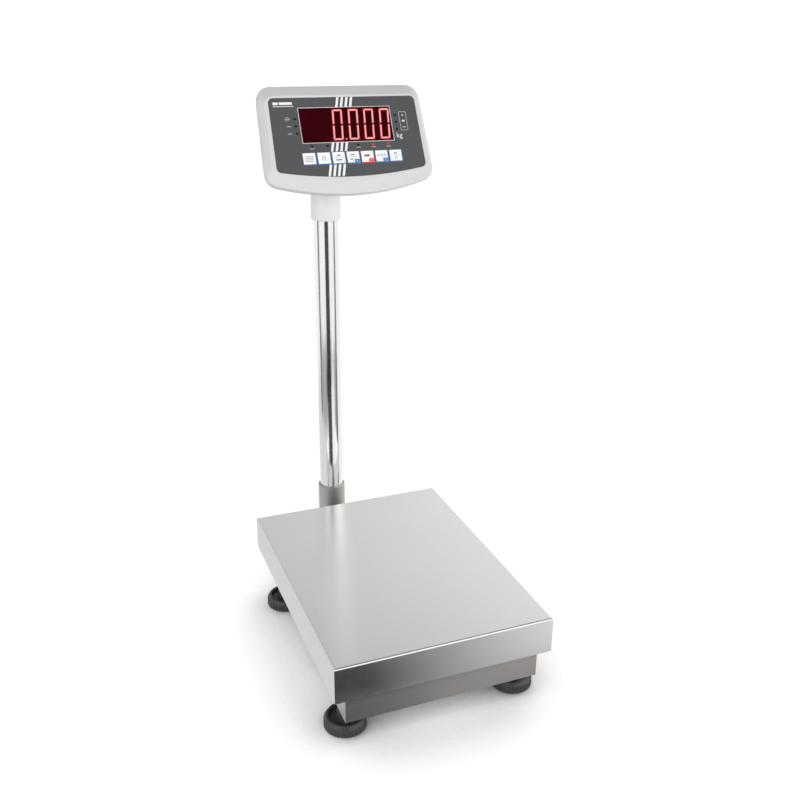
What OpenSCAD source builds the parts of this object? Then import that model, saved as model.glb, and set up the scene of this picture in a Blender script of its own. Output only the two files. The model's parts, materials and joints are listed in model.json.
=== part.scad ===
// Bench scale: square-edged stainless platform on a tube frame with four levelling
// feet, and a tilting, swivelling indicator head on a round column behind it.
// Front faces -Y, +X is to the right, the feet stand on z = 0.

/* [Platform] */
// Width of the weighing plate, side to side
plate_w = 300; // [280:1:320]
// Depth of the weighing plate, front to back
plate_d = 400; // [380:1:420]
// Height of the plate's top above the floor
plate_top = 129; // [127:0.5:135]
// Height of the plate's folded skirt
skirt_h = 51; // [44:1:54]
// Sheet thickness of the plate
plate_t = 1.5; // [1:0.1:2]
// Outside radius of the plate's top bends
plate_bend_r = 2.5; // [2:0.1:4]

/* [Base frame] */
// Outside width of the tube frame
frame_w = 268; // [260:1:276]
// Outside depth of the tube frame
frame_d = 383; // [370:1:390]
// Height of the frame's underside above the floor
frame_z = 38; // [38:0.5:42]
// Height of the frame tubes
rail_h = 46; // [42:1:46]
// Width of the frame tubes
rail_w = 25; // [22:1:28]
// Wall thickness of the frame tubes
rail_t = 2; // [1.5:0.5:2.5]

/* [Feet] */
// Radius of the ribbed adjusting wheels
foot_r = 28.3; // [26:0.1:29]
// Height of the wheel's rim above the floor
foot_h = 16; // [14:0.5:18]
// Foot centres, left and right of the middle
foot_x = 121; // [119:0.5:123]
// Foot centres, in front of and behind the plate's middle
foot_y = 149; // [140:1:155]
// Number of grip ribs round each wheel
foot_ribs = 32; // [24:2:36]
// Radius of the threaded studs
stud_r = 5; // [4:0.5:6]

/* [Load cell] */
// Length of the load cell
cell_l = 130; // [120:5:150]
// Width of the load cell
cell_w = 30; // [25:1:40]
// Height of the load cell
cell_h = 22; // [20:1:22]
// Thickness of the spacers under and over the cell's ends
cell_gap = 3; // [2:0.5:3]

/* [Column] */
// Radius of the column tube
pole_r = 19; // [18:0.5:20]
// Distance from the plate's rear edge to the column's axis
pole_gap = 87; // [80:1:100]
// Height of the column's top end
pole_top = 690; // [680:1:692]
// Outside radius of the socket at the column's foot
socket_r = 22; // [21.5:0.5:24]
// Height of the socket's top
socket_top = 124; // [110:1:130]
// Height of the swivel sleeve's lower edge
sleeve_z = 571; // [560:1:600]
// Outside radius of the swivel sleeve
sleeve_r = 22.5; // [22:0.1:25]

/* [Indicator] */
// Angle by which the face leans back from upright
tilt = 27; // [20:1:35]
// Height of the window's centre
window_z = 720; // [715:1:725]
// Distance from the column's axis forward to the window's centre
window_gap = 106.5; // [100:0.5:110]
// Width of the window
window_w = 131; // [120:1:135]
// Height of the window
window_h = 48.6; // [40:0.1:50]
// Depth of the housing, face to back
housing_d = 50; // [46:1:54]
// Wall thickness of the housing
housing_t = 2.5; // [2:0.1:3]
// Width of a key cap
key_w = 17.2; // [16:0.1:17.6]
// Height of a key cap
key_h = 15.3; // [14:0.1:16]
// Spacing of the keys
key_pitch = 20.7; // [20.2:0.1:21.5]

/* [Hidden] */

$fn = 64;
eps = 0.5;            // how far a cutting solid runs past the face it cuts
fit = 0.05;           // running clearance on a radius
gap = 0.3;            // air between pieces that move past each other

// stand bracket behind the frame
shelf_r = 36;         // rounded end of the shelf, round the column's axis
shelf_w = 100;
shelf_t = 5;
shelf_z = 40;
flange_h = 34;
flange_t = 4;
gusset_t = 3;
stand_bolt_x = 38;
stand_bolt_z = [52, 67];
socket_screw_z = [80, 106];

// plan positions: the origin is the middle of the whole object's footprint
plate_y = -(pole_gap + shelf_r) / 2;
pole_y = plate_y + plate_d / 2 + pole_gap;
frame_back = plate_y + frame_d / 2;
frame_top = frame_z + rail_h;
shelf_top = shelf_z + shelf_t;
plate_under = plate_top - plate_t;

// load cell stack and carrier
beam_t = 6;
beam_y = plate_y + 48;          // middle of the cell's fixed end
beam_d = 60;
cell_z = frame_top + cell_gap;
cell_end = cell_l / 2 - 17;     // bolt group, from the cell's middle
cell_y = beam_y - cell_end;     // middle of the cell: its rear end is the fixed one
cell_bolt_pitch = 16;
carrier_z = cell_z + cell_h + cell_gap;
carrier_t = 5;
arm_x = 100;
arm_w = 20;
arm_h = 10.5;
arm_l = 370;
buffer_r = 9;
buffer_y = 160;
stop_y = frame_d / 2 - rail_w / 2;

// feet: corner signs in the order front left, front right, rear left, rear right
corners = [[-1, -1], [1, -1], [-1, 1], [1, 1]];
pad_r = 25.5;
pad_h = 3;
pad_pin_r = 8;
stud_top = 62;
insert_r = 8;
insert_h = 12;

// signal cable: hand-placed points from the cell to the column's upper end
cable_r = 2.5;
cable_x = 35;         // run beside the cell
gland_x = 12;
cable_z = 62;
cable_bend = 12;
cable_sides = 8;
cable_path = [[cell_w / 2, beam_y + 12, cell_z + 11], [cable_x, beam_y + 12, cell_z + 11],
              [cable_x, beam_y + 50, cell_z + 11], [gland_x, beam_y + 88, cable_z],
              [gland_x, frame_back + 22, cable_z], [0, pole_y - 40, cable_z],
              [0, pole_y, cable_z], [0, pole_y, pole_top - 8]];

// indicator head: the local frame of the face has x right, y into the housing, z up the face
window_y = pole_y - window_gap;
hinge_y = housing_d + 22;       // hinge axis behind the face
hinge_z = 4;                    // hinge axis above the window's centre, along the face
pivot_y = window_y + hinge_y * cos(tilt) + hinge_z * sin(tilt);
pivot_z = window_z - hinge_y * sin(tilt) + hinge_z * cos(tilt);
eye_r = 11;
eye_w = 40;
lug_t = 6;
bolt_r = 5;
sleeve_top = pole_top + 10;

// housing outlines in the face's plane: [half width top, half width bottom, top, bottom, radius]
face_edge = [111, 114, 44, -81, 14];
rim_edge = [117.5, 121, 59.5, -94, 20];
rim_y = 11;
seam_y = 16;
bow = 14;                       // how far the bottom edge bows down in the middle

// overlay and its cut-outs
overlay = [105, 107, 39, -73, 7];
overlay_bow = 9;
overlay_t = 0.5;
key_z = -46;
key_x0 = 2;
key_proud = 0.6;
led_w = 3.6;
led_h = 2.6;
led_spots = concat([for (i = [0:5]) [-53.7 + 21.9 * i, -29]],
                   [for (i = [0:2]) [-71.6, 9.5 - 10.2 * i]],
                   [for (i = [0:2]) [72.4, 11.5 - 10 * i]]);
screw_spots = [[-88, 34], [88, 34], [-92, -62], [92, -62]];
screw_seat = seam_y + 16;       // depth of the screw heads' seats behind the face
jack_x = 70;
jack_z = -38;

stainless = "gainsboro";
steel = "silver";

// ---- shared shapes ----

// Rectangle with true round corners, centred
module round_rect(w, d, r) {
    square([w - 2 * r, d], center = true);
    square([w, d - 2 * r], center = true);
    for (sx = [-1, 1], sy = [-1, 1])
        translate([sx * (w / 2 - r), sy * (d / 2 - r)]) circle(r);
}

// Cross-section of a folded sheet: flat top with rounded shoulders, open at y = 0
module shoulder_profile(w, h, r) {
    translate([-w / 2, 0]) square([w, h - r]);
    translate([-w / 2 + r, 0]) square([w - 2 * r, h]);
    for (s = [-1, 1])
        translate([s * (w / 2 - r), h - r]) circle(r);
}

// Solid block with the four top edges rounded, standing on z = 0
module shouldered_block(w, d, h, r) {
    intersection() {
        translate([0, d / 2 + eps, 0]) rotate([90, 0, 0])
            linear_extrude(d + 2 * eps) shoulder_profile(w, h, r);
        translate([-w / 2 - eps, 0, 0]) rotate([90, 0, 90])
            linear_extrude(w + 2 * eps) shoulder_profile(d, h, r);
    }
}

// Rod along +Y
module rod_y(r, l) {
    rotate([-90, 0, 0]) cylinder(r = r, h = l);
}

// Rod along X, centred
module rod_x(r, l) {
    rotate([0, 90, 0]) cylinder(r = r, h = l, center = true);
}

// ---- tube frame ----

// Square-section tube along X with mitred ends, its outer face towards -Y at y = 0
module mitred_rail(l) {
    difference() {
        linear_extrude(rail_h)
            polygon([[-l / 2, 0], [l / 2, 0], [l / 2 - rail_w, rail_w], [-l / 2 + rail_w, rail_w]]);
        translate([-l / 2, rail_t, rail_t])
            cube([l, rail_w - 2 * rail_t, rail_h - 2 * rail_t]);
    }
}

module frame_rail_front() {
    color(steel) difference() {
        translate([0, plate_y - frame_d / 2, frame_z]) mitred_rail(frame_w);
        for (s = [-1, 1])
            translate([s * arm_x, plate_y - stop_y, frame_top - rail_t - eps])
                cylinder(r = 4 + fit, h = rail_t + 2 * eps);
    }
}

module frame_rail_rear() {
    color(steel) difference() {
        translate([0, frame_back, frame_z]) rotate([0, 0, 180]) mitred_rail(frame_w);
        for (s = [-1, 1])
            translate([s * arm_x, plate_y + stop_y, frame_top - rail_t - eps])
                cylinder(r = 4 + fit, h = rail_t + 2 * eps);
        translate([gland_x, frame_back - rail_w - eps, cable_z]) rod_y(5, rail_w / 2);
        translate([gland_x, frame_back - rail_t - eps, cable_z]) rod_y(6, rail_t + 2 * eps);
        for (sx = [-1, 1], z = stand_bolt_z)
            translate([sx * stand_bolt_x, frame_back - rail_t - eps, z]) rod_y(4 + fit, rail_t + 2 * eps);
    }
}

module side_rail(side) {
    difference() {
        translate([side * frame_w / 2, plate_y, frame_z]) rotate([0, 0, side * 90]) mitred_rail(frame_d);
        for (s = [-1, 1])
            translate([side * foot_x, plate_y + s * foot_y, frame_z - eps])
                cylinder(r = insert_r, h = rail_t + 2 * eps);
    }
}

module frame_rail_left() {
    color(steel) side_rail(-1);
}

module frame_rail_right() {
    color(steel) side_rail(1);
}

// Threaded bushes welded into the side rails' floors
module foot_inserts() {
    color("darkgray") for (c = corners)
        translate([c[0] * foot_x, plate_y + c[1] * foot_y, frame_z]) difference() {
            cylinder(r = insert_r, h = insert_h);
            translate([0, 0, -eps]) cylinder(r = stud_r + fit, h = insert_h + 2 * eps);
        }
}

// ---- load cell and carrier ----

module load_cell_beam() {
    inner_w = frame_w - 2 * rail_w;
    color(steel) difference() {
        translate([-inner_w / 2, beam_y - beam_d / 2, frame_top - beam_t]) cube([inner_w, beam_d, beam_t]);
        for (s = [-1, 1])
            translate([0, beam_y + s * cell_bolt_pitch / 2, frame_top - beam_t - eps])
                cylinder(r = 3.2, h = beam_t + 2 * eps);
    }
}

// Spacer block between the cell and what it is bolted to
module cell_spacer(y, z) {
    difference() {
        translate([-cell_w / 2, y - 15, z]) cube([cell_w, 30, cell_gap]);
        for (s = [-1, 1])
            translate([0, y + s * cell_bolt_pitch / 2, z - eps]) cylinder(r = 3.2, h = cell_gap + 2 * eps);
    }
}

module load_cell_foot() {
    color("darkgray") cell_spacer(beam_y, frame_top);
}

module load_cell_head() {
    color("darkgray") cell_spacer(cell_y - cell_end, cell_z + cell_h);
}

// Aluminium bar weakened by two cross bores joined by a slot
module load_cell() {
    color("lightgray") difference() {
        translate([-cell_w / 2, cell_y - cell_l / 2, cell_z]) cube([cell_w, cell_l, cell_h]);
        for (s = [-1, 1])
            translate([0, cell_y + s * 14, cell_z + cell_h / 2]) rod_x(7.5, cell_w + 2 * eps);
        translate([-cell_w / 2 - eps, cell_y - 14, cell_z + cell_h / 2 - 3])
            cube([cell_w + 2 * eps, 28, 6]);
        for (e = [-1, 1], s = [-1, 1])
            translate([0, cell_y + e * cell_end + s * cell_bolt_pitch / 2, cell_z - eps])
                cylinder(r = 3, h = cell_h + 2 * eps);
    }
}

// Socket-head screws: two up through the beam, two down through the carrier
module load_cell_bolts() {
    color("dimgray") {
        for (s = [-1, 1]) {
            translate([0, beam_y + s * cell_bolt_pitch / 2, frame_top - beam_t]) {
                translate([0, 0, -6]) socket_head(5, 6, -1);
                cylinder(r = 3, h = beam_t + cell_gap + cell_h - 4);
            }
            translate([0, cell_y - cell_end + s * cell_bolt_pitch / 2, cell_z + 4]) {
                cylinder(r = 3, h = carrier_z + carrier_t - cell_z - 4);
                translate([0, 0, carrier_z + carrier_t - cell_z - 4]) socket_head(5, 5, 1);
            }
        }
    }
}

// Cylindrical screw head standing on z = 0; the hexagon recess is on its top or, with up -1, below
module socket_head(r, h, up) {
    difference() {
        cylinder(r = r, h = h);
        translate([0, 0, up > 0 ? h - 3 : -eps]) cylinder(r = r * 0.55, h = 3 + eps, $fn = 6);
    }
}

module carrier_plate() {
    inner_w = 2 * arm_x - arm_w;
    front_y = cell_y - cell_end - 25;
    color(steel) difference() {
        translate([-inner_w / 2, front_y, carrier_z]) cube([inner_w, 110, carrier_t]);
        for (s = [-1, 1])
            translate([0, cell_y - cell_end + s * cell_bolt_pitch / 2, carrier_z - eps])
                cylinder(r = 3.2, h = carrier_t + 2 * eps);
        for (s = [-1, 1])
            translate([s * 55, front_y + 55, carrier_z - eps])
                linear_extrude(carrier_t + 2 * eps) round_rect(36, 62, 8);
    }
}

// Rectangular tubes that carry the plate's four corners
module carrier_arms() {
    color(steel) for (s = [-1, 1])
        translate([s * arm_x, plate_y - arm_l / 2, carrier_z]) difference() {
            translate([-arm_w / 2, 0, 0]) cube([arm_w, arm_l, arm_h]);
            translate([-arm_w / 2 + 1.5, -eps, 1.5]) cube([arm_w - 3, arm_l + 2 * eps, arm_h - 3]);
        }
}

module plate_buffers() {
    top = plate_under - gap;
    color("dimgray") for (c = corners)
        translate([c[0] * arm_x, plate_y + c[1] * buffer_y, carrier_z + arm_h])
            cylinder(r = buffer_r, h = top - carrier_z - arm_h);
}

// Grub screws with lock nuts; a heavy load lets the carrier down on them
module overload_stops() {
    color("dimgray") for (c = corners)
        translate([c[0] * arm_x, plate_y + c[1] * stop_y, 0]) {
            translate([0, 0, frame_top - 12]) cylinder(r = 4, h = carrier_z - 0.8 - frame_top + 12);
            translate([0, 0, frame_top]) difference() {
                cylinder(r = 7.5, h = 6.5, $fn = 6);
                translate([0, 0, -eps]) cylinder(r = 4, h = 6.5 + 2 * eps);
            }
        }
}

// ---- feet ----

module at_foot(i) {
    translate([corners[i - 1][0] * foot_x, plate_y + corners[i - 1][1] * foot_y, 0]) children();
}

// Rubber sole with the pin on which the wheel turns
module foot_pad(i) {
    color("black") at_foot(i) {
        cylinder(r = pad_r, h = pad_h);
        cylinder(r = pad_pin_r, h = 6);
    }
}

// Black adjusting wheel: ribbed rim reaching down round the pad, sloping shoulder and conical hub
module foot_wheel(i) {
    base = pad_h + gap;
    rim_in = pad_r + 2 * gap;
    rim_z = 0.8;
    rib_top = foot_h - 5;
    rib_depth = 1.4;
    groove_r = 1.7;
    color("dimgray") at_foot(i) {
        rotate_extrude() polygon([
            [stud_r, 7], [pad_pin_r + fit, 7], [pad_pin_r + fit, base], [rim_in, base],
            [rim_in, rim_z], [foot_r - rib_depth, rim_z], [foot_r - rib_depth, rib_top], [foot_r, rib_top],
            [foot_r - 3, foot_h - 0.5], [foot_r - 3.6, foot_h], [foot_r - 6.6, foot_h],
            [foot_r - 7, foot_h - 0.5], [foot_r - 7, foot_h - 4.5], [13, foot_h - 4.5],
            [8, frame_z - 1], [stud_r, frame_z - 1]]);
        translate([0, 0, rim_z]) linear_extrude(rib_top - rim_z) difference() {
            circle(foot_r);
            circle(rim_in + 0.2);
            for (k = [1:foot_ribs])
                rotate(k * 360 / foot_ribs) translate([foot_r + 0.35, 0]) circle(groove_r, $fn = 16);
        }
    }
}

module foot_stud(i) {
    color("silver") at_foot(i) translate([0, 0, 7]) cylinder(r = stud_r, h = stud_top - 7);
}

// ---- stand bracket and column ----

module stand_flange() {
    color(steel) difference() {
        translate([-shelf_w / 2, frame_back, shelf_top]) cube([shelf_w, flange_t, flange_h - shelf_t]);
        for (sx = [-1, 1], z = stand_bolt_z)
            translate([sx * stand_bolt_x, frame_back - eps, z]) rod_y(4 + fit, flange_t + 2 * eps);
        translate([gland_x, frame_back - eps, cable_z]) rod_y(6, flange_t + 2 * eps);
    }
}

module stand_shelf() {
    color(steel) difference() {
        translate([0, 0, shelf_z]) linear_extrude(shelf_t) {
            polygon([[-shelf_w / 2, frame_back], [shelf_w / 2, frame_back],
                     [shelf_w / 2, frame_back + 60], [shelf_r - 1, pole_y - 8],
                     [-shelf_r + 1, pole_y - 8], [-shelf_w / 2, frame_back + 60]]);
            translate([0, pole_y]) circle(shelf_r);
        }
        for (a = [45, 135, 225, 315])
            translate([28 * cos(a), pole_y + 28 * sin(a), shelf_z - eps])
                cylinder(r = 2.5, h = shelf_t + 2 * eps);
    }
}

module stand_gussets() {
    y0 = frame_back + flange_t;
    color(steel) for (s = [0, 1])
        mirror([s, 0, 0]) translate([shelf_w / 2 - gusset_t, 0, 0]) rotate([90, 0, 90])
            linear_extrude(gusset_t)
                polygon([[y0, shelf_top], [y0 + 52, shelf_top], [y0 + 52, shelf_top + 4],
                         [y0 + 8, shelf_z + flange_h], [y0, shelf_z + flange_h]]);
}

// Hexagon bolts that hold the bracket to the rear rail
module stand_bolts() {
    color("dimgray") for (sx = [-1, 1], z = stand_bolt_z)
        translate([sx * stand_bolt_x, 0, z]) {
            translate([0, frame_back - 16, 0]) rod_y(4, 16 + flange_t);
            translate([0, frame_back + flange_t, 0]) rotate([-90, 0, 0]) cylinder(r = 7.2, h = 5, $fn = 6);
        }
}

// Bull's-eye level on the shelf: case and glass capsule
module at_level() {
    translate([-26, frame_back + 34, shelf_top]) children();
}

module spirit_level() {
    color("black") at_level() difference() {
        cylinder(r = 13, h = 9);
        translate([0, 0, 2]) cylinder(r = 10, h = 10);
    }
}

module level_vial() {
    color("yellowgreen") at_level() translate([0, 0, 2]) cylinder(r = 10, h = 6.5);
}

// Strain relief in the bracket's flange and the rear rail's wall
module cable_gland() {
    color("dimgray") translate([gland_x, frame_back - rail_t, cable_z]) difference() {
        union() {
            rod_y(6, rail_t + flange_t);
            translate([0, rail_t + flange_t, 0]) rotate([-90, 0, 0]) cylinder(r = 9, h = 4, $fn = 6);
            translate([0, rail_t + flange_t + 4, 0]) rotate([-90, 0, 0]) cylinder(r1 = 7.5, r2 = 5, h = 8);
        }
        translate([0, -eps, 0]) rod_y(cable_r + fit, rail_t + flange_t + 12 + 2 * eps);
    }
}

// Points of the path with each inner corner replaced by a short curve
function unit(v) = v / norm(v);
function bend_point(a, b, c, u) =
    let (p = b + unit(a - b) * min(cable_bend, norm(a - b) / 2),
         q = b + unit(c - b) * min(cable_bend, norm(c - b) / 2))
    p * (1 - u) * (1 - u) + b * 2 * u * (1 - u) + q * u * u;
cable_pts = concat([cable_path[0]],
                   [for (i = [1:len(cable_path) - 2], u = [0:0.2:1])
                        bend_point(cable_path[i - 1], cable_path[i], cable_path[i + 1], u)],
                   [cable_path[len(cable_path) - 1]]);
function along(i) = unit(cable_pts[min(i + 1, len(cable_pts) - 1)] - cable_pts[max(i - 1, 0)]);
// A side vector carried from ring to ring, so the tube never twists
function carry(v, t) = unit(v - t * (v * t));
function side_at(i) = i == 0 ? carry([0, 0, 1], along(0)) : carry(side_at(i - 1), along(i));
function ring(i) = let (t = along(i), s = side_at(i), w = cross(t, s))
    [for (k = [0:cable_sides - 1]) let (a = 360 * k / cable_sides)
        cable_pts[i] + cable_r * (s * cos(a) + w * sin(a))];

module signal_cable() {
    n = len(cable_pts);
    color("black") polyhedron(
        points = [for (i = [0:n - 1]) each ring(i)],
        faces = concat([[for (k = [0:cable_sides - 1]) k]],
                       [for (i = [0:n - 2], k = [0:cable_sides - 1])
                            let (a = i * cable_sides, b = a + cable_sides, m = (k + 1) % cable_sides)
                            [a + k, b + k, b + m, a + m]],
                       [[for (k = [cable_sides - 1:-1:0]) (n - 1) * cable_sides + k]]));
}

// Flanged sleeve into which the column is clamped
module pole_socket() {
    color("darkgray") difference() {
        translate([0, pole_y, 0]) rotate_extrude() polygon([
            [pole_r + fit, shelf_top], [shelf_r - 2, shelf_top], [shelf_r - 2, shelf_top + 6],
            [socket_r, shelf_top + 6], [socket_r, socket_top - 0.8], [socket_r - 0.8, socket_top],
            [pole_r + fit, socket_top]]);
        for (a = [45, 135, 225, 315])
            translate([28 * cos(a), pole_y + 28 * sin(a), shelf_top - eps]) cylinder(r = 2.5, h = 7 + eps);
        for (z = socket_screw_z)
            translate([0, pole_y + pole_r - 2, z]) rod_y(3, 10);
        translate([0, pole_y - socket_r - 2, cable_z]) rod_y(5, 10);
    }
}

// Flange screws from above and two grub screws from behind
module socket_screws() {
    color("dimgray") {
        for (a = [45, 135, 225, 315])
            translate([28 * cos(a), pole_y + 28 * sin(a), shelf_z - 1]) {
                cylinder(r = 2.5, h = shelf_t + 7);
                translate([0, 0, shelf_t + 7]) cylinder(r = 4.2, h = 3.5);
            }
        for (z = socket_screw_z)
            translate([0, pole_y + pole_r, z]) rotate([-90, 0, 0]) socket_head(3, 5.5, 1);
    }
}

module pole() {
    color("white") difference() {
        translate([0, pole_y, shelf_top]) cylinder(r = pole_r, h = pole_top - shelf_top);
        translate([0, pole_y, shelf_top - eps]) cylinder(r = pole_r - 1.5, h = pole_top - shelf_top + 2 * eps);
        translate([0, pole_y - pole_r - 2, cable_z]) rod_y(5, 10);
    }
}

// ---- weighing plate ----

module weighing_plate() {
    color(stainless) translate([0, plate_y, plate_top - skirt_h]) difference() {
        shouldered_block(plate_w, plate_d, skirt_h, plate_bend_r);
        translate([0, 0, -eps])
            shouldered_block(plate_w - 2 * plate_t, plate_d - 2 * plate_t, skirt_h - plate_t + eps,
                             plate_bend_r - plate_t);
    }
}

// ---- swivel head ----

// White sleeve that turns on the column's upper end
module neck_sleeve() {
    edge = 3;
    top = 5;
    color("white") translate([0, pole_y, 0]) rotate_extrude() difference() {
        union() {
            translate([0, sleeve_z + edge]) square([sleeve_r, sleeve_top - top - sleeve_z - edge]);
            translate([0, sleeve_z]) square([sleeve_r - edge, sleeve_top - sleeve_z]);
            translate([sleeve_r - edge, sleeve_z + edge]) circle(edge);
            translate([0, sleeve_top - top - 1]) square([sleeve_r - top, top + 1]);
            intersection() {
                translate([sleeve_r - top, sleeve_top - top]) circle(top);
                translate([0, sleeve_z]) square([sleeve_r + 1, sleeve_top - sleeve_z]);
            }
        }
        translate([0, sleeve_z - eps]) square([pole_r + fit, pole_top + gap - sleeve_z + eps]);
    }
}

// Knuckle that carries the hinge eye, seated on the sleeve
module neck_arm() {
    color("lightgray") difference() {
        union() {
            translate([0, pivot_y, pivot_z]) rod_x(eye_r, eye_w);
            translate([-eye_w / 2, pivot_y, pivot_z - eye_r])
                cube([eye_w, pole_y - pivot_y - 10, 2 * eye_r - 3]);
        }
        translate([0, pivot_y, pivot_z]) rod_x(bolt_r + fit, eye_w + 2 * eps);
        translate([0, pole_y, sleeve_z]) cylinder(r = sleeve_r, h = sleeve_top);
        translate([-eye_w / 2 - eps, pole_y - 8, pivot_z - eye_r - eps]) cube([eye_w + 2 * eps, 20, 30]);
    }
}

// ---- indicator housing, drawn in the face's own frame ----

module on_face() {
    translate([0, window_y, window_z]) rotate([-tilt, 0, 0]) children();
}

// Outline in the face's plane as [half width top, half width bottom, top, bottom, radius]
module face_outline(e, sag) {
    r = e[4];
    foot_pts = [for (u = [1:-0.125:-1]) [u * (e[1] - r), e[3] + r + sag * u * u]];
    offset(r = r, $fn = 32)
        polygon(concat([[-(e[0] - r), e[2] - r], [e[0] - r, e[2] - r]], foot_pts));
}

// The outline drawn in by a distance on every side
function inset(e, d) = [e[0] - d, e[1] - d, e[2] - d, e[3] + d, max(e[4] - d / 2, 3)];

// Thin sheet of an outline at a depth behind the face
module sheet_at(y, e, sag, t = 0.1) {
    translate([0, y + t, 0]) rotate([90, 0, 0]) linear_extrude(t) face_outline(e, sag);
}

module front_solid(w) {
    hull() {
        sheet_at(w, inset(face_edge, 1.8 + w), bow);
        sheet_at(w + 0.7, inset(face_edge, 0.5 + w), bow);
        sheet_at(w + 2.2, inset(face_edge, w), bow);
        sheet_at(rim_y - 1.5, inset(rim_edge, 0.5 + w), bow);
        sheet_at(rim_y, inset(rim_edge, w), bow);
        sheet_at(seam_y - 0.1, inset(rim_edge, w), bow);
    }
}

module back_solid(w) {
    hull() {
        sheet_at(seam_y, inset(rim_edge, w), bow);
        sheet_at(seam_y + 8, inset(rim_edge, 1.5 + w), bow);
        sheet_at(housing_d - 8, inset(rim_edge, 11 + w), bow);
        sheet_at(housing_d - 2 - w, inset(rim_edge, 16 + w), bow);
        sheet_at(housing_d - 0.1 - w, inset(rim_edge, 18.5 + w), bow);
    }
}

// Rectangular cut through the front, centred on a spot in the face's plane
module face_cut(x, z, w, h, y0, d) {
    translate([x - w / 2, y0, z - h / 2]) cube([w, d, h]);
}

function key_x(i) = key_x0 + (i - 4) * key_pitch;

module key_cuts(grow, y0, d) {
    for (i = [1:7])
        face_cut(key_x(i), key_z, key_w + 2 * grow, key_h + 2 * grow, y0, d);
}

module led_cuts(grow, y0, d) {
    for (p = led_spots)
        face_cut(p[0], p[1], led_w + 2 * grow, led_h + 2 * grow, y0, d);
}

module housing_front() {
    color("whitesmoke") on_face() {
        difference() {
            front_solid(0);
            difference() {
                front_solid(housing_t);
                for (p = screw_spots)
                    translate([p[0], 0, p[1]]) rod_y(4.5, seam_y);
            }
            translate([0, overlay_t, 0]) rotate([90, 0, 0]) linear_extrude(overlay_t + eps)
                face_outline(inset(overlay, -0.1), overlay_bow);
            face_cut(0, 0, window_w, window_h, -eps, housing_t + 2 * eps);
            key_cuts(gap, -eps, housing_t + 2 * eps);
            led_cuts(0, -eps, housing_t + 2 * eps);
            for (p = screw_spots)
                translate([p[0], 5, p[1]]) rod_y(1.8, seam_y);
        }
    }
}

module housing_back() {
    color("gainsboro") on_face() difference() {
        back_solid(0);
        difference() {
            back_solid(housing_t);
            for (p = screw_spots)
                translate([p[0], seam_y + 1, p[1]]) rod_y(5, housing_d);
        }
        translate([-100, seam_y - eps, -74]) cube([200, 1 + eps, 124]);
        for (p = screw_spots)
            translate([p[0], 0, p[1]]) {
                rod_y(1.9, housing_d);
                translate([0, screw_seat, 0]) rod_y(3.6, housing_d);
            }
        translate([jack_x, housing_d - 6, jack_z]) rod_y(6, 10);
    }
}

// Long screws from the back into the front's pillars
module housing_screws() {
    shank = 24;
    color("silver") on_face() for (p = screw_spots)
        translate([p[0], screw_seat - shank, p[1]]) {
            rod_y(1.7, shank);
            translate([0, shank, 0]) difference() {
                rod_y(3.3, 2.4);
                for (a = [0, 90])
                    rotate([0, a, 0]) translate([-2.2, 1.4, -0.4]) cube([4.4, 1.5, 0.8]);
            }
        }
}

// Steel bracket with two lugs on the housing's back
module hinge_bracket() {
    color("gray") on_face() difference() {
        union() {
            translate([-40, housing_d, hinge_z - 24]) cube([80, 3, 48]);
            for (s = [-1, 1])
                translate([s * (eye_w / 2 + 0.5 + lug_t / 2), 0, hinge_z]) {
                    translate([0, hinge_y, 0]) rod_x(eye_r, lug_t);
                    translate([-lug_t / 2, housing_d, -eye_r]) cube([lug_t, hinge_y - housing_d, 2 * eye_r]);
                }
        }
        translate([0, hinge_y, hinge_z]) rod_x(bolt_r, eye_w + 4 * lug_t);
        for (sx = [-1, 1], sz = [-1, 1])
            translate([sx * 34, housing_d - eps, hinge_z + sz * 18]) rod_y(2, 3 + 2 * eps);
    }
}

// Hinge bolt with a domed head, washer and lock nut
module pivot_bolt() {
    side = eye_w / 2 + 0.5 + lug_t;
    color("silver") on_face() translate([0, hinge_y, hinge_z]) {
        rod_x(bolt_r, 2 * side);
        for (s = [-1, 1])
            translate([s * (side + 0.75), 0, 0]) rod_x(10, 1.5);
        translate([-side - 1.5 - 5, 0, 0]) rotate([0, 90, 0]) cylinder(r1 = 6, r2 = 9, h = 5);
        translate([side + 1.5, 0, 0]) rotate([0, 90, 0]) cylinder(r = 9, h = 8, $fn = 6);
    }
}

module overlay_foil() {
    color("dimgray") on_face() difference() {
        translate([0, overlay_t, 0]) rotate([90, 0, 0]) linear_extrude(overlay_t)
            face_outline(overlay, overlay_bow);
        face_cut(0, 0, window_w, window_h, -eps, 2);
        key_cuts(gap, -eps, 2);
        led_cuts(0, -eps, 2);
    }
}

module display_window() {
    color("darkred") on_face() face_cut(0, 0, window_w, window_h, 0, housing_t);
}

module led_module() {
    color("black") on_face() face_cut(0, 0, window_w - 2, window_h - 2, housing_t, 12);
}

module indicator_leds() {
    color("maroon") on_face() led_cuts(0, 0, housing_t + 1);
}

// Cap that stands proud of the overlay, with a wider foot behind the housing's wall
module key_cap(i) {
    lip = 0.9;
    color("white") on_face() {
        face_cut(key_x(i), key_z, key_w, key_h, -key_proud, key_proud + housing_t + gap + 0.6);
        face_cut(key_x(i), key_z, key_w + 2 * lip, key_h + 2 * lip, housing_t + gap, 1.2);
    }
}

// Circuit board under the keys with one tactile switch for each
module key_board() {
    board_y = 8;
    switch_y = 4.8;
    color("darkgreen") on_face() {
        face_cut(key_x0, key_z - 1, 7 * key_pitch + 8, 24, board_y, 1.6);
        for (i = [1:7])
            face_cut(key_x(i), key_z, 6, 6, switch_y, board_y - switch_y);
    }
}

module main_board() {
    color("darkgreen") on_face() face_cut(0, -6, 160, 84, seam_y + 2, 1.6);
}

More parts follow.
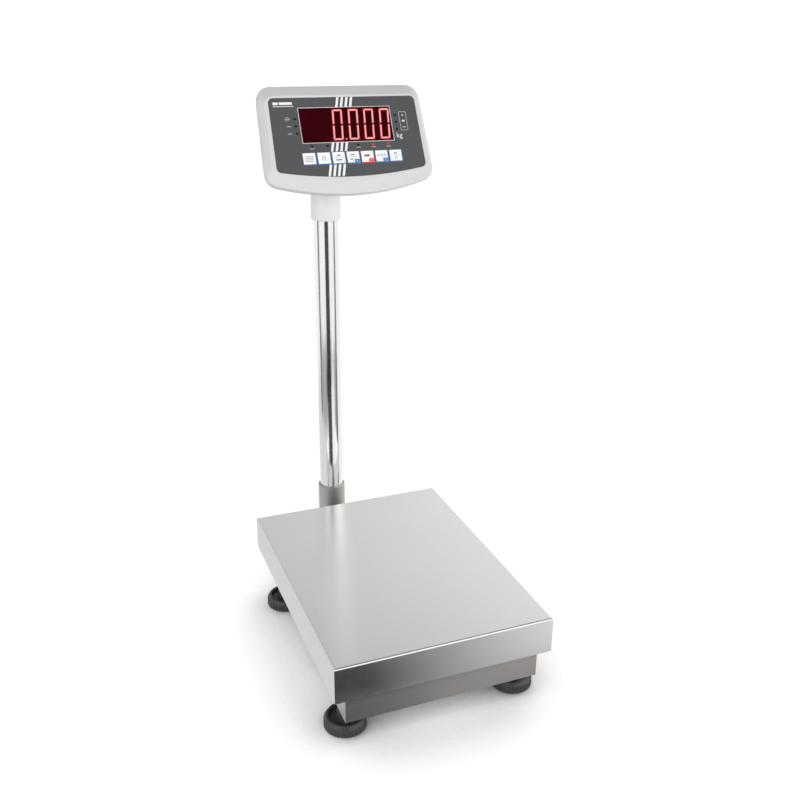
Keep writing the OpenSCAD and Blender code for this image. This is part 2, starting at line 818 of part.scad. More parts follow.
module battery() {
    color("slategray") on_face() {
        face_cut(-20, -28, 100, 46, seam_y + 5, 22);
        for (s = [-1, 1])
            face_cut(-20 + s * 40, -3, 6, 4, seam_y + 8, 6);
    }
}

// Round low-voltage inlet in the back
module charger_socket() {
    color("black") on_face() translate([jack_x, housing_d - 10, jack_z]) difference() {
        union() {
            rod_y(6, 10);
            translate([0, 10, 0]) rod_y(8, 1.5);
        }
        translate([0, 3, 0]) rod_y(3, 10);
    }
}

// ---- assembly ----

frame_rail_front();
frame_rail_rear();
frame_rail_left();
frame_rail_right();
load_cell_beam();
load_cell_foot();
load_cell();
load_cell_head();
load_cell_bolts();
carrier_plate();
carrier_arms();
plate_buffers();
overload_stops();
foot_inserts();
stand_flange();
stand_shelf();
stand_gussets();
stand_bolts();
spirit_level();
level_vial();
cable_gland();
signal_cable();
pole_socket();
socket_screws();
pole();
for (i = [1:4]) {
    foot_pad(i);
    foot_wheel(i);
    foot_stud(i);
}
weighing_plate();
neck_sleeve();
neck_arm();
housing_front();
housing_back();
hinge_bracket();
pivot_bolt();
overlay_foil();
display_window();
led_module();
indicator_leds();
key_board();
main_board();
battery();
charger_socket();
housing_screws();
for (i = [1:7])
    key_cap(i);
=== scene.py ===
"""Bench scale: finishes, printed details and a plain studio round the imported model."""
import json
import math

import bmesh
import bpy
from mathutils import Matrix, Vector


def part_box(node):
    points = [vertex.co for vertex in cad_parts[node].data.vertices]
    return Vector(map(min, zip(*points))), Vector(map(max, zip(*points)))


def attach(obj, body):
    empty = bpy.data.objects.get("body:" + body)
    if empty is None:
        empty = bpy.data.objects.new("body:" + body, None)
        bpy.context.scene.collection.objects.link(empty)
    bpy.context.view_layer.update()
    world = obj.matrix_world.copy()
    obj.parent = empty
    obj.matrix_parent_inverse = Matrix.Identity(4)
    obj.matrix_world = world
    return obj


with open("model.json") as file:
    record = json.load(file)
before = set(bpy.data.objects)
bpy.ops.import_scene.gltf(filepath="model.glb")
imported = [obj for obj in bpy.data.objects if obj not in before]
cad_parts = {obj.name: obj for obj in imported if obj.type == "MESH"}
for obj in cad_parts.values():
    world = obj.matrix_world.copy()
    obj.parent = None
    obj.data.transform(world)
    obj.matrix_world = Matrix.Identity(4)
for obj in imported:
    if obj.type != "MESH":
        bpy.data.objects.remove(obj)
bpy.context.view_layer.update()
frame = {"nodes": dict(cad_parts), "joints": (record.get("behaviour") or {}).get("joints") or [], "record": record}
nodes = frame["nodes"]
scene = bpy.context.scene

# ---------------------------------------------------------------- camera

FOCAL, SENSOR = 42.43, 36.0               # mm
CAMERA_AT = Vector((-0.4193, -1.1528, 0.8490))
AZIMUTH, PITCH, ROLL = math.radians(-21.505), math.radians(21.777), math.radians(0.485)


def make_camera():
    data = bpy.data.cameras.new("camera")
    data.lens, data.sensor_width = FOCAL, SENSOR
    cam = bpy.data.objects.new("camera", data)
    scene.collection.objects.link(cam)
    forward = Vector((-math.sin(AZIMUTH) * math.cos(PITCH), math.cos(AZIMUTH) * math.cos(PITCH),
                      -math.sin(PITCH)))
    right = forward.cross(Vector((0, 0, 1))).normalized()
    up = right.cross(forward)
    right, up = (right * math.cos(ROLL) + up * math.sin(ROLL),
                 up * math.cos(ROLL) - right * math.sin(ROLL))
    turn = Matrix((right, up, -forward)).transposed()
    cam.matrix_world = Matrix.Translation(CAMERA_AT) @ turn.to_4x4()
    scene.camera = cam


# ---------------------------------------------------------------- materials

class Nodes:
    """Short calls for building one material's node tree."""

    def __init__(self, name):
        self.material = bpy.data.materials.new(name)
        self.material.use_nodes = True
        self.tree = self.material.node_tree
        self.shader = self.tree.nodes["Principled BSDF"]

    def add(self, kind, **inputs):
        node = self.tree.nodes.new(kind)
        for key, value in inputs.items():
            name = key.replace("_", " ")
            if name in node.inputs:
                node.inputs[name].default_value = value
            else:
                setattr(node, key, value)
        return node

    def link(self, a, b):
        self.tree.links.new(a, b)

    def coords(self, scale=(1, 1, 1)):
        source = self.add("ShaderNodeTexCoord")
        mapping = self.add("ShaderNodeMapping")
        mapping.inputs["Scale"].default_value = scale
        self.link(source.outputs["Object"], mapping.inputs["Vector"])
        return mapping.outputs["Vector"]

    def noise(self, scale, detail=3.0, stretch=(1, 1, 1), rough=0.5):
        noise = self.add("ShaderNodeTexNoise")
        noise.inputs["Scale"].default_value = scale
        noise.inputs["Detail"].default_value = detail
        noise.inputs["Roughness"].default_value = rough
        self.link(self.coords(stretch), noise.inputs["Vector"])
        return noise.outputs["Fac"]

    def ramp(self, fac, low, high, start=0.35, end=0.65):
        ramp = self.add("ShaderNodeValToRGB")
        ramp.color_ramp.elements[0].position, ramp.color_ramp.elements[0].color = start, low
        ramp.color_ramp.elements[1].position, ramp.color_ramp.elements[1].color = end, high
        self.link(fac, ramp.inputs["Fac"])
        return ramp.outputs["Color"]

    def spread(self, fac, low, high):
        scale = self.add("ShaderNodeMapRange")
        scale.inputs["To Min"].default_value, scale.inputs["To Max"].default_value = low, high
        self.link(fac, scale.inputs["Value"])
        return scale.outputs["Result"]

    def bump(self, height, strength, distance):
        bump = self.add("ShaderNodeBump")
        bump.inputs["Strength"].default_value = strength
        bump.inputs["Distance"].default_value = distance
        self.link(height, bump.inputs["Height"])
        self.link(bump.outputs["Normal"], self.shader.inputs["Normal"])

    def set(self, **values):
        for key, value in values.items():
            self.shader.inputs[key.replace("_", " ")].default_value = value


def grey(v, a=1.0):
    return (v, v, v, a)


def shade(color, k):
    return (color[0] * k, color[1] * k, color[2] * k, 1.0)


LONG_X, LONG_Y, LONG_Z = (0.15, 12, 12), (12, 0.15, 12), (12, 12, 0.15)   # grain directions


def brushed(name, color, rough, grain, bump=0.04, anisotropic=0.0, variation=0.04, tangent=None):
    """Rolled or brushed metal: fine streaks along one axis in colour, gloss and relief.

    A tangent gives the highlight's direction where the finish is anisotropic.
    """
    m = Nodes(name)
    streaks = m.noise(60, 4, grain, 0.6)
    cloud = m.noise(5, 2)
    m.link(m.ramp(streaks, shade(color, 1 - variation), shade(color, 1 + variation), 0.3, 0.7),
           m.shader.inputs["Base Color"])
    mixed = m.add("ShaderNodeMath", operation="ADD")
    m.link(m.spread(streaks, -0.04, 0.04), mixed.inputs[0])
    m.link(m.spread(cloud, rough - 0.03, rough + 0.03), mixed.inputs[1])
    m.link(mixed.outputs[0], m.shader.inputs["Roughness"])
    m.bump(streaks, bump, 0.0002)
    m.set(Metallic=1.0, Anisotropic=anisotropic)
    if tangent:
        across = m.add("ShaderNodeCombineXYZ")
        for socket, value in zip(across.inputs, tangent):
            socket.default_value = value
        m.link(across.outputs[0], m.shader.inputs["Tangent"])
    return m.material


def frame_steel_painted_shade():
    """Frame steel with painted shade: its colour is darkened where the skirt or a foot sits close over it."""
    material = brushed("frame_steel", (0.52, 0.50, 0.485), 0.42, LONG_X, 0.05, 0.0, 0.03)
    tree = material.node_tree
    shader = tree.nodes["Principled BSDF"]
    color = shader.inputs["Base Color"].links[0].from_socket
    # painted shade: ambient occlusion darkens the steel's colour close under the skirt and the feet
    painted_shade_ao = tree.nodes.new("ShaderNodeAmbientOcclusion")
    painted_shade_ao.samples, painted_shade_ao.inputs["Distance"].default_value = 8, 0.016
    level = tree.nodes.new("ShaderNodeMapRange")
    for key, value in (("From Min", 0.62), ("From Max", 0.95), ("To Min", 0.22), ("To Max", 1.0)):
        level.inputs[key].default_value = value
    painted_shade_color = tree.nodes.new("ShaderNodeVectorMath")
    painted_shade_color.operation = "SCALE"
    tree.links.new(painted_shade_ao.outputs["AO"], level.inputs["Value"])
    tree.links.new(color, painted_shade_color.inputs[0])
    tree.links.new(level.outputs["Result"], painted_shade_color.inputs["Scale"])
    tree.links.new(painted_shade_color.outputs[0], shader.inputs["Base Color"])
    return material


def moulded(name, color, rough, texture=1800, bump=0.08, variation=0.03, coat=0.0, mirror=0.5):
    """Moulded plastic: spark-eroded fine texture, slight colour drift."""
    m = Nodes(name)
    fine = m.noise(texture, 2)
    cloud = m.noise(9, 3)
    m.link(m.ramp(cloud, shade(color, 1 - variation), shade(color, 1 + variation)),
           m.shader.inputs["Base Color"])
    m.link(m.spread(fine, rough - 0.06, rough + 0.06), m.shader.inputs["Roughness"])
    m.bump(fine, bump, 0.00008)
    m.set(Coat_Weight=coat, Specular_IOR_Level=mirror)
    return m.material


def glowing(name, color, strength):
    """Lit light-emitting surface: hot middle of each die under a diffuser."""
    m = Nodes(name)
    cells = m.noise(700, 1)
    tint = m.ramp(cells, shade(color, 0.93), shade(color, 1.05))
    m.link(tint, m.shader.inputs["Emission Color"])
    m.set(Base_Color=shade(color, 0.3), Roughness=0.4, Emission_Strength=strength)
    return m.material


def make_materials():
    return {
        "plate_steel": brushed("plate_steel", (0.750, 0.742, 0.742), 0.25, LONG_X, 0.03, 0.5, 0.015,
                               tangent=(0.02, 1, 0.05)),
        "frame_steel": frame_steel_painted_shade(),
        "socket_steel": brushed("socket_steel", (0.47, 0.46, 0.44), 0.52, LONG_Z, 0.08),
        "pole_chrome": brushed("pole_chrome", (0.84, 0.835, 0.82), 0.15, LONG_Z, 0.02, 0.0, 0.015),
        "zinc_steel": brushed("zinc_steel", (0.62, 0.62, 0.60), 0.34, (12, 12, 12), 0.08),
        "fastener_steel": brushed("fastener_steel", (0.42, 0.42, 0.42), 0.30, (9, 9, 9), 0.06),
        "cell_aluminium": brushed("cell_aluminium", (0.74, 0.74, 0.76), 0.38, LONG_Y, 0.08),
        "buffer_rubber": moulded("buffer_rubber", (0.035, 0.035, 0.035), 0.72, 900, 0.15),
        "pad_rubber": moulded("pad_rubber", (0.028, 0.028, 0.028), 0.78, 900, 0.18),
        "wheel_plastic": moulded("wheel_plastic", (0.036, 0.034, 0.034), 0.42, 1200, 0.12),
        "black_plastic": moulded("black_plastic", (0.032, 0.032, 0.033), 0.45, 1500, 0.10),
        "cable_jacket": moulded("cable_jacket", (0.04, 0.04, 0.042), 0.5, 800, 0.10),
        "white_plastic": moulded("white_plastic", (0.72, 0.72, 0.72), 0.40, 1600, 0.05, 0.015),
        "grey_casting": brushed("grey_casting", (0.50, 0.50, 0.51), 0.48, (10, 10, 10), 0.15),
        "housing_plastic": moulded("housing_plastic", (0.585, 0.585, 0.585), 0.45, 1500, 0.07, 0.015),
        "overlay_print": moulded("overlay_print", (0.074, 0.076, 0.079), 0.50, 2400, 0.05,
                                 mirror=0.2),
        "window_red": window_red(),
        "led_black": moulded("led_black", (0.02, 0.02, 0.02), 0.5),
        "led_red": moulded("led_red", (0.010, 0.006, 0.006), 0.30, 700, 0.03, mirror=0.15),
        "circuit_board": moulded("circuit_board", (0.02, 0.15, 0.06), 0.35, 500, 0.20, 0.20),
        "battery_wrap": moulded("battery_wrap", (0.16, 0.20, 0.27), 0.30, 300, 0.10, 0.08),
        "key_plastic": moulded("key_plastic", (0.82, 0.83, 0.84), 0.35, 1800, 0.04, 0.01),
        "level_glass": level_glass(),
    }


def window_red():
    """Dark red filter with a painted glow: the pane gives off a little dark red light of its own, and it barely
    mirrors the room.
    """
    m = Nodes("window_red")
    cloud = m.noise(14, 2)
    m.link(m.ramp(cloud, (0.016, 0.0003, 0.0012, 1), (0.026, 0.0004, 0.0020, 1)),
           m.shader.inputs["Base Color"])
    # painted glow: a faint dark red emission on the pane, which is no lamp
    m.link(m.ramp(cloud, (0.012, 0.0, 0.0010, 1), (0.020, 0.0, 0.0016, 1)),
           m.shader.inputs["Emission Color"])
    m.set(Roughness=0.32, Specular_IOR_Level=0.02, Emission_Strength=0.6)
    return m.material


def level_glass():
    """Tinted liquid under a clear capsule."""
    m = Nodes("level_glass")
    cloud = m.noise(120, 2)
    m.link(m.ramp(cloud, (0.42, 0.62, 0.06, 1), (0.52, 0.72, 0.10, 1)), m.shader.inputs["Base Color"])
    m.set(Roughness=0.05, IOR=1.45, Coat_Weight=1.0)
    return m.material


SLOT_OF = {s["node"]: s["material_slot"] for s in frame["record"]["subparts"]}
BEVELS = {"frame_rail": 0.0008, "key_": 0.0005, "carrier": 0.0006, "load_cell": 0.0005,
          "stand_": 0.0006, "display_window": 0.0002, "neck_arm": 0.0008, "hinge": 0.0006}
CRISP, BEVELLED = 32, 50                  # degrees; edges sharper than this stay crisp, or are bevelled


def dress_cad(materials):
    """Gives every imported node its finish, smooth curves and, where an edge shows, a small bevel."""
    for name, obj in nodes.items():
        obj.data.materials.clear()
        obj.data.materials.append(materials[SLOT_OF[name]])
        smooth(obj)
        width = next((w for start, w in BEVELS.items() if name.startswith(start)), 0)
        if width:
            bevel = obj.modifiers.new("edge", "BEVEL")
            bevel.width, bevel.segments, bevel.limit_method = width, 2, "ANGLE"
            bevel.angle_limit = math.radians(BEVELLED)
            bevel.harden_normals = True


def smooth(obj):
    """Smooth shading, with sharp edges kept crisp."""
    mesh = obj.data
    with bpy.context.temp_override(object=obj, active_object=obj, selected_objects=[obj]):
        if mesh.has_custom_normals:
            bpy.ops.mesh.customdata_custom_splitnormals_clear()
    mesh.shade_smooth()
    mesh.set_sharp_from_angle(angle=math.radians(CRISP))


# ---------------------------------------------------------------- the indicator's face

KEYS = [f"key_{i}" for i in range(1, 8)]
INTO = Vector(next(j for j in frame["joints"] if j["name"] == "key_1_press")["axis"])
UP = Vector((0, -INTO.z, INTO.y))         # up along the face
PANE_T = 0.0025                           # thickness of the window pane
FOIL_LIFT = 0.00006                       # how far print stands off what it is printed on
FOIL_T = 0.00005                          # thickness of a printed layer


def middle(name):
    low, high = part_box(name)
    return (low + high) / 2


FACE = middle("display_window") - INTO * (PANE_T / 2)   # centre of the window's front


def on_face(x, z, lift=0.0):
    """Point on the overlay's plane, x to the right and z up the face from the window's centre."""
    return FACE + Vector((x, 0, 0)) + UP * z - INTO * lift


def face_xz(point):
    d = point - FACE
    return d.x, d.dot(UP)


def print_shapes(name, shapes, material, body, lift=FOIL_LIFT, thick=FOIL_T):
    """One thin printed piece from closed outlines given as [(x, z), ...] in the face's plane."""
    verts, faces = [], []
    for outline in shapes:
        n, start = len(outline), len(verts)
        verts += [on_face(x, z, lift + thick) for x, z in outline]
        verts += [on_face(x, z, lift) for x, z in outline]
        faces.append([start + i for i in range(n)])
        faces.append([start + n + i for i in reversed(range(n))])
        faces += [[start + i, start + n + i, start + n + (i + 1) % n, start + (i + 1) % n]
                  for i in range(n)]
    mesh = bpy.data.meshes.new(name)
    mesh.from_pydata(verts, [], faces)
    mesh.validate()
    obj = bpy.data.objects.new(name, mesh)
    scene.collection.objects.link(obj)
    fix_normals(obj)
    mesh.materials.append(material)
    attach(obj, body)


def fix_normals(obj):
    bm = bmesh.new()
    bm.from_mesh(obj.data)
    bmesh.ops.recalc_face_normals(bm, faces=bm.faces)
    bm.to_mesh(obj.data)
    bm.free()


def rect(x, z, w, h, lean=0.0):
    """Rectangle round (x, z); lean shifts its top to the right."""
    k = lean / 2
    return [(x - w / 2 - k, z - h / 2), (x + w / 2 - k, z - h / 2),
            (x + w / 2 + k, z + h / 2), (x - w / 2 + k, z + h / 2)]


def rounded(x, z, w, h, r, steps=5):
    """Outline of a rectangle with round corners."""
    out = []
    for cx, cz, a0 in ((1, 1, 0), (-1, 1, 90), (-1, -1, 180), (1, -1, 270)):
        for i in range(steps + 1):
            a = math.radians(a0 + 90 * i / steps)
            out.append((x + cx * (w / 2 - r) + r * math.cos(a),
                        z + cz * (h / 2 - r) + r * math.sin(a)))
    return out


def ring(outline_a, outline_b):
    """A frame between two outlines with the same number of points, as four-sided strips."""
    n = len(outline_a)
    return [[outline_a[i], outline_a[(i + 1) % n], outline_b[(i + 1) % n], outline_b[i]]
            for i in range(n)]


def disc(x, z, r, steps=16):
    return [(x + r * math.cos(2 * math.pi * i / steps), z + r * math.sin(2 * math.pi * i / steps))
            for i in range(steps)]


# seven-segment digits
DIGIT_W, DIGIT_H, STROKE, SLANT = 0.0142, 0.0430, 0.0024, 0.085
DIGIT_X = (-0.0128, 0.0099, 0.0323, 0.0553)


def segment_outlines(cx, which, grow=0.0):
    """Outlines of the named segments of one digit centred at cx, leaning right at the top."""
    w, h, t = DIGIT_W / 2 + grow, DIGIT_H / 2 + grow, STROKE + 2 * grow
    g = 0.00035 - grow                     # gap left at each segment's ends
    mid = 0.0011 - grow                    # half the gap between the upper and lower uprights

    def bar(x0, x1, z, side):
        return [(x0 + g, z), (x1 - g, z), (x1 - g - t, z - side * t), (x0 + g + t, z - side * t)]

    def post(x, z1, side):
        """Upright from near the digit's middle to its end z1; side is 1 for the right-hand one."""
        up = 1 if z1 > 0 else -1
        return [(x, z1 - up * g), (x, up * mid), (x - side * t, up * (mid + 0.0004)),
                (x - side * t, z1 - up * (g + t))]

    shapes = {"a": bar(-w, w, h, 1), "d": bar(-w, w, -h, -1),
              "b": post(w, h, 1), "c": post(w, -h, 1), "f": post(-w, h, -1), "e": post(-w, -h, -1)}
    return [[(cx + x + SLANT * z, z) for x, z in shapes[s]] for s in which]


def make_digits():
    lit = glowing("digit_lit", (1.0, 0.34, 0.32), 1.0)
    halo = glowing("digit_halo", (0.30, 0.006, 0.012), 0.75)
    for name, grow, material, lift, thick in (("glow", 0.0006, halo, 0.00003, 0.00003),
                                              ("lit", -0.0003, lit, 0.00010, FOIL_T)):
        zeros = [s for cx in DIGIT_X for s in segment_outlines(cx, "abcdef", grow)]
        print_shapes(f"digit_segments_{name}", zeros, material, "display", lift, thick)
    print_shapes("decimal_point", [disc(-0.0034, -0.0204, 0.0010)], lit, "display", 0.0001)


# overlay print
KEY_ROW = [face_xz(middle(k)) for k in KEYS]
KEY_SIZE = (0.0172, 0.0153)
KEY_PROUD = 0.0006
RED_KEY, TABBED_KEYS = 5, (4, 5, 6)
LAMPS_BELOW = [(-0.0537 + 0.0219 * i, -0.029) for i in range(6)]
LAMPS_LEFT = [(-0.0716, 0.0095 - 0.0102 * i) for i in range(3)]
LAMPS_RIGHT = [(0.0724, 0.0115 - 0.0100 * i) for i in range(3)]
WINDOW = (0.131, 0.0486)
BAR_LEAN, BAR_W, BAR_PITCH = 0.257, 0.0034, 0.0066


def make_overlay_print():
    body = "display"
    white = moulded("print_white", (0.78, 0.78, 0.78), 0.45, 2000, 0.03, 0.02)
    soft_white = moulded("print_grey", (0.42, 0.42, 0.42), 0.45, 2000, 0.03, 0.05)
    blue = moulded("print_blue", (0.012, 0.165, 0.42), 0.40, 2000, 0.03, 0.05)
    red = moulded("print_red", (0.60, 0.012, 0.03), 0.40, 2000, 0.03, 0.05)
    w, h = WINDOW
    outline = ring(rounded(0, 0, w + 0.0012, h + 0.0012, 0.0006), rounded(0, 0, w, h, 0.0003))
    print_shapes("window_outline", outline, white, body)

    # plain slanted bars of one width, above the window, below it and below the keys
    bars = []
    for z0, z1 in ((0.0251, 0.0386), (-0.0372, -0.0251), (-0.0716, -0.0546)):
        for i in range(4):
            x = -0.0172 + BAR_LEAN * (z0 + z1) / 2 + BAR_PITCH * i
            bars.append(rect(x, (z0 + z1) / 2, BAR_W, z1 - z0, BAR_LEAN * (z1 - z0)))
    print_shapes("overlay_bars", bars, white, body)

    # short bars where the indicator lamps have their captions
    captions = [rect(x, z - 0.0037, 0.0062, 0.0009)
                for x, z in LAMPS_BELOW if not -0.035 < x < 0.0]
    captions += [rect(x - 0.0098, z, 0.0058, 0.0011) for x, z in LAMPS_LEFT]
    captions += ring(disc(-0.0826, 0.0095, 0.0028), disc(-0.0826, 0.0095, 0.0022))
    print_shapes("lamp_captions", captions, soft_white, body)

    # bracket beside the right-hand lamps with three plain signs
    x, z = 0.0835, 0.0028
    frame_line = ring(rounded(x, z, 0.0105, 0.0268, 0.0016), rounded(x, z, 0.0098, 0.0261, 0.0013))
    signs = [[(x - 0.0013, z + 0.0074), (x + 0.0013, z + 0.0074), (x, z + 0.0098)],
             rect(x, z - 0.0088, 0.0040, 0.0009), rect(x, z + 0.0002, 0.0036, 0.0024)]
    print_shapes("range_bracket", frame_line + signs, white, body)
    print_shapes("corner_mark", [rect(-0.0850, 0.0272, 0.0285, 0.0009),
                                 rect(-0.0955, 0.0312, 0.0070, 0.0036),
                                 rect(-0.0815, 0.0312, 0.0180, 0.0036)], white, body)

    # coloured shadow borders round the keys
    w, h = KEY_SIZE
    for i, (name, (kx, kz)) in enumerate(zip(KEYS, KEY_ROW), 1):
        border = ring(rounded(kx + 0.0003, kz - 0.0004, w + 0.0022, h + 0.0022, 0.0006),
                      rounded(kx, kz, w + 0.0007, h + 0.0007, 0.0003))
        print_shapes(f"{name}_border", border, red if i == RED_KEY else blue, body)
    return white, blue, red


def make_lamps():
    lit = glowing("lamp_lit", (0.75, 0.03, 0.03), 0.5)
    last_two = [rect(x, z, 0.0036, 0.0026) for x, z in LAMPS_BELOW[4:]]
    print_shapes("lamps_lit", last_two, lit, "display", 0.00004)


def make_unit(white):
    """The unit beside the window's lower right corner."""
    curve = bpy.data.curves.new("unit_mark", "FONT")
    curve.body, curve.size, curve.extrude = "kg", 0.0098, 0.00002
    text = bpy.data.objects.new("unit_mark", curve)
    scene.collection.objects.link(text)
    corner = on_face(0.0700, -0.0207, FOIL_LIFT + 0.00003)
    text.matrix_world = (Matrix.Translation(corner)
                         @ Matrix((Vector((1, 0, 0)), UP, -INTO)).transposed().to_4x4())
    curve.materials.append(white)
    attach(text, "display")


def key_signs(i, x, z):
    """Plain signs for one key, in dark print: lines, bars, rings or arrows."""
    w = KEY_SIZE[0]
    split = rect(x, z + 0.0004, w * 0.72, 0.0004)
    if i == 1:
        return [rect(x, z + 0.0030 - 0.0022 * k, w * 0.66, 0.0007) for k in range(4)]
    if i == 2:
        return ring(disc(x, z, 0.0030), disc(x, z, 0.0024)) + [rect(x, z, 0.0020, 0.0006)]
    if i == 3:
        return [split, rect(x, z + 0.0033, 0.0050, 0.0016), rect(x, z - 0.0031, 0.0086, 0.0016)]
    if i == 4:
        return [split, rect(x - 0.0008, z + 0.0033, 0.0060, 0.0014),
                rect(x - 0.0026, z - 0.0029, 0.0046, 0.0014)]
    if i == 5:
        return [rect(x - 0.0008, z + 0.0014, 0.0078, 0.0026)]
    if i == 6:
        return (ring(disc(x, z + 0.0012, 0.0019, 12), disc(x, z + 0.0012, 0.0013, 12))
                + [[(x - 0.0058, z + 0.0026), (x - 0.0034, z + 0.0012), (x - 0.0058, z - 0.0002)],
                   [(x + 0.0058, z + 0.0026), (x + 0.0058, z - 0.0002), (x + 0.0034, z + 0.0012)]])
    return ([split, rect(x, z + 0.0033, 0.0044, 0.0016)]
            + ring(disc(x, z - 0.0031, 0.0019, 12), disc(x, z - 0.0031, 0.0014, 12)))


def make_key_print(white, blue, red):
    dark = moulded("print_dark", (0.10, 0.10, 0.11), 0.5, 2000, 0.03, 0.1)
    w, h = KEY_SIZE
    lift = KEY_PROUD + 0.00002
    for i, (name, (x, z)) in enumerate(zip(KEYS, KEY_ROW), 1):
        body = f"{name}_cap"
        print_shapes(f"{name}_signs", key_signs(i, x, z), dark, body, lift)
        if i in TABBED_KEYS:
            tab_w, tab_h = w * 0.40, h * 0.30
            tx, tz = x + w / 2 - tab_w / 2 - 0.0004, z - h / 2 + tab_h / 2 + 0.0004
            print_shapes(f"{name}_tab", [rounded(tx, tz, tab_w, tab_h, 0.0005)],
                         red if i == RED_KEY else blue, body, lift)
            cross = [rect(tx, tz, 0.0022, 0.0006), rect(tx, tz, 0.0006, 0.0022)]
            print_shapes(f"{name}_tab_sign", cross, white, body, lift + 0.00006)


# ---------------------------------------------------------------- studio

def plane(name, points, material):
    mesh = bpy.data.meshes.new(name)
    mesh.from_pydata(points, [], [list(range(len(points)))])
    obj = bpy.data.objects.new(name, mesh)
    scene.collection.objects.link(obj)
    mesh.materials.append(material)
    return obj


def plain(name, color, emission=0.0):
    m = Nodes(name)
    m.set(Base_Color=grey(color), Roughness=0.9, Specular_IOR_Level=0.0)
    if emission:
        m.set(Emission_Color=grey(1.0), Emission_Strength=emission)
    return m.material


def floor_with_painted_shadow():
    """White floor with painted shadow: its glow darkens only close under things that stand on it."""
    m = Nodes("floor_with_painted_shadow")
    # painted shadow: ambient occlusion sets the floor's glow, darker close under the scale
    painted_shadow_ao = m.add("ShaderNodeAmbientOcclusion", samples=16, Distance=0.15)
    level = m.add("ShaderNodeMapRange")
    for key, value in (("From Min", 0.26), ("From Max", 0.83), ("To Min", 0.06), ("To Max", 1.04)):
        level.inputs[key].default_value = value
    m.link(painted_shadow_ao.outputs["AO"], level.inputs["Value"])
    m.link(level.outputs["Result"], m.shader.inputs["Emission Strength"])
    m.set(Base_Color=grey(0.0), Roughness=1.0, Specular_IOR_Level=0.0, Emission_Color=grey(1.0))
    return m.material


def card(name, points, material):
    """A studio card that shows only in reflections."""
    obj = plane(name, points, material)
    obj.visible_camera = obj.visible_diffuse = obj.visible_shadow = False
    obj.visible_transmission = obj.visible_volume_scatter = False
    return obj


def fan(name, azimuth, half_angle, near, far, z, material):
    """Flat card round the column's foot: a wedge at an azimuth, in degrees from -Y towards +X."""
    column = middle("pole")
    points = []
    for radius, turn in ((near, -1), (far, -1), (far, 1), (near, 1)):
        a = math.radians(azimuth + turn * half_angle)
        points.append((column.x + radius * math.sin(a), column.y - radius * math.cos(a), z))
    return card(name, points, material)


def softbox(name, azimuth, half_angle, distance, low, high, strength):
    """Glowing upright card at an azimuth round the column, between two elevations in degrees."""
    column = middle("pole")
    lamp = plain(name, 0.0, strength)
    rise = [distance * math.tan(math.radians(e)) for e in (low, high)]
    foot = []
    for turn in (-1, 1):
        a = math.radians(azimuth + turn * half_angle)
        foot.append((column.x + distance * math.sin(a), column.y - distance * math.cos(a)))
    (x0, y0), (x1, y1) = foot
    return card(name, [(x0, y0, rise[0]), (x1, y1, rise[0]), (x1, y1, rise[1]), (x0, y0, rise[1])],
                lamp)


def graded(name, dark, bright, x0, x1):
    """Card that glows from dark to bright along X."""
    m = Nodes(name)
    position = m.add("ShaderNodeTexCoord")
    split = m.add("ShaderNodeSeparateXYZ")
    m.link(position.outputs["Object"], split.inputs[0])
    scale = m.add("ShaderNodeMapRange")
    for key, value in (("From Min", x0), ("From Max", x1), ("To Min", dark), ("To Max", bright)):
        scale.inputs[key].default_value = value
    m.link(split.outputs["X"], scale.inputs["Value"])
    m.link(scale.outputs["Result"], m.shader.inputs["Emission Strength"])
    m.set(Base_Color=grey(0.0), Roughness=1.0, Specular_IOR_Level=0.0, Emission_Color=grey(1.0))
    return m.material


OVERHEAD, BELOW, BEHIND, SIDE_RISE = 0.18, 0.62, 0.76, 0.70   # against 1 for the rest of the room


def make_world():
    """Even white room, dimmer overhead, below and behind, brighter towards +X."""
    world = bpy.data.worlds.new("studio")
    scene.world = world
    world.use_nodes = True
    tree = world.node_tree
    back = tree.nodes["Background"]
    back.inputs["Color"].default_value = (1, 1, 1, 1)

    def math_node(kind, a, b):
        node = tree.nodes.new("ShaderNodeMath")
        node.operation = kind
        for socket, value in zip(node.inputs, (a, b)):
            if isinstance(value, (int, float)):
                socket.default_value = value
            else:
                tree.links.new(value, socket)
        return node.outputs[0]

    def slope(value, start, end, low, high):
        node = tree.nodes.new("ShaderNodeMapRange")
        node.interpolation_type = "SMOOTHSTEP"
        for key, number in (("From Min", start), ("From Max", end), ("To Min", low), ("To Max", high)):
            node.inputs[key].default_value = number
        tree.links.new(value, node.inputs["Value"])
        return node.outputs["Result"]

    direction = tree.nodes.new("ShaderNodeTexCoord")
    split = tree.nodes.new("ShaderNodeSeparateXYZ")
    tree.links.new(direction.outputs["Generated"], split.inputs[0])
    x, y, z = split.outputs
    over = math_node("MULTIPLY", slope(z, 0.50, 0.85, 1.0, OVERHEAD),
                     slope(z, -0.30, 0.05, BELOW, 1.0))
    behind = slope(y, 0.1, 0.7, 1.0, BEHIND)
    side = math_node("ADD", slope(x, 0.05, 0.65, 0.0, SIDE_RISE), 1.0)
    level = math_node("MULTIPLY", math_node("MULTIPLY", over, behind), side)
    tree.links.new(level, back.inputs["Strength"])


def floor_card(name, x0, x1, y0, y1, z, material):
    return card(name, [(x0, y1, z), (x1, y1, z), (x1, y0, z), (x0, y0, z)], material)


def make_backdrop():
    """White floor and four white walls, which light nothing themselves."""
    floor = plane("floor", [(-6, -6, 0), (6, -6, 0), (6, 6, 0), (-6, 6, 0)], floor_with_painted_shadow())
    floor.visible_diffuse = False
    white = plain("backdrop_white", 0.0, 1.2)
    corners = [(9, 6), (-9, 6), (-9, -6), (9, -6)]
    for i, (start, end) in enumerate(zip(corners, corners[1:] + corners[:1])):
        wall = plane(f"backdrop_{i}", [(*start, -0.5), (*end, -0.5), (*end, 6), (*start, 6)], white)
        wall.visible_diffuse = wall.visible_glossy = wall.visible_shadow = False


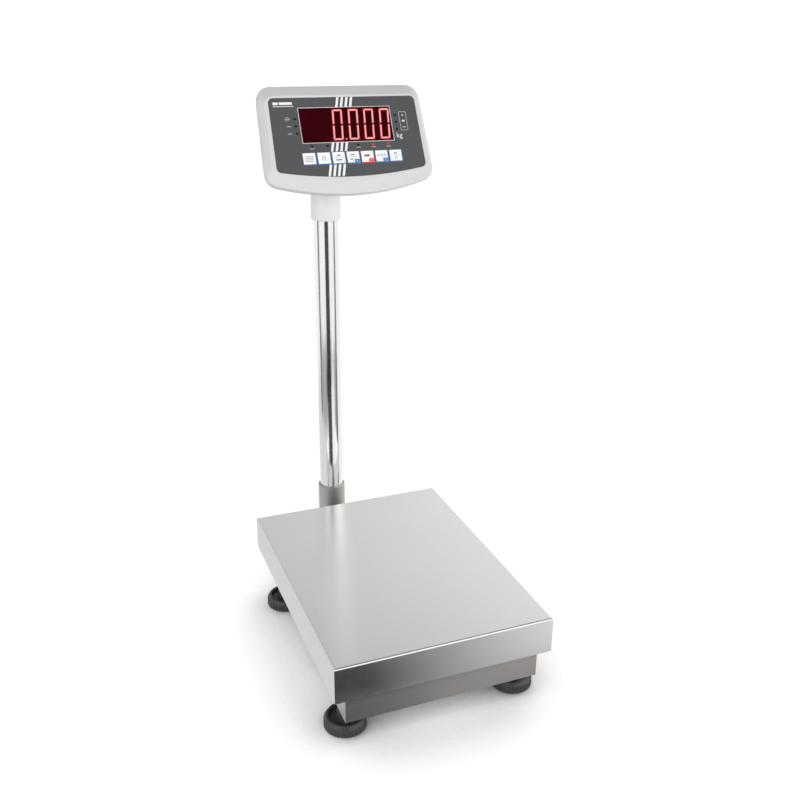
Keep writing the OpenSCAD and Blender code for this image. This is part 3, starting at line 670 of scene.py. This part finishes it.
def make_cards():
    dark = plain("card_dark", 0.0, 0.06)
    dim = plain("card_dim", 0.0, 0.16)
    # what the bright column shows: darkness behind the camera and two thin dark lines at the sides
    fan("card_camera", -16.3, 17.5, 0.66, 3.5, 0.0060, dark)
    fan("card_left", -99.5, 8, 0.62, 4.0, 0.0034, dim)
    fan("card_right", 59.5, 7, 0.25, 4.0, 0.0038, dim)
    # and the grey of the floor between them, half-way down the column
    grey_floor = plain("card_grey", 0.0, 0.42)
    fan("card_grey_left", -62, 29, 0.62, 1.30, 0.0026, grey_floor)
    fan("card_grey_right", 26, 26, 0.50, 1.20, 0.0028, grey_floor)
    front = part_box("weighing_plate")[0].y
    near = front - 0.07
    # what the skirt's front shows: dark on the left, bright on the right
    floor_card("card_skirt", -0.60, 0.42, front - 0.50, near, 0.007,
               graded("card_graded", 0.02, 0.88, -0.06, 0.24))
    # what the frame's front shows, nearer to it
    floor_card("card_frame", -0.60, 0.42, near, front + 0.002, 0.002,
               graded("card_frame_graded", 0.0, 0.62, -0.16, 0.20))
    # the floor beside the left skirt, a little duller than the rest
    floor_card("card_side", -0.80, -0.16, -0.26, 0.90, 0.0012, plain("card_side_white", 0.0, 0.80))
    # upright darkness behind the camera, with a bright card on either side of it
    softbox("card_upright", -16.3, 16.7, 3.1, 0, 62, 0.05)
    softbox("softbox_left", -54, 17, 3.0, 4, 50, 1.6)
    softbox("softbox_right", 21, 17, 3.0, 4, 50, 1.5)


def make_key_light():
    light = bpy.data.lights.new("key_light", "AREA")
    light.shape, light.size, light.size_y, light.energy = "RECTANGLE", 0.8, 0.6, 12
    key = bpy.data.objects.new("key_light", light)
    scene.collection.objects.link(key)
    key.location = FACE + Vector((-0.8, -1.5, 0.15))
    key.rotation_euler = (FACE - key.location).to_track_quat("-Z", "Y").to_euler()
    key.visible_glossy = False


# ---------------------------------------------------------------- build

make_camera()
dress_cad(make_materials())
make_digits()
print_white, print_blue, print_red = make_overlay_print()
make_lamps()
make_unit(print_white)
make_key_print(print_white, print_blue, print_red)
make_world()
make_backdrop()
make_cards()
make_key_light()
scene.view_settings.view_transform = "Standard"
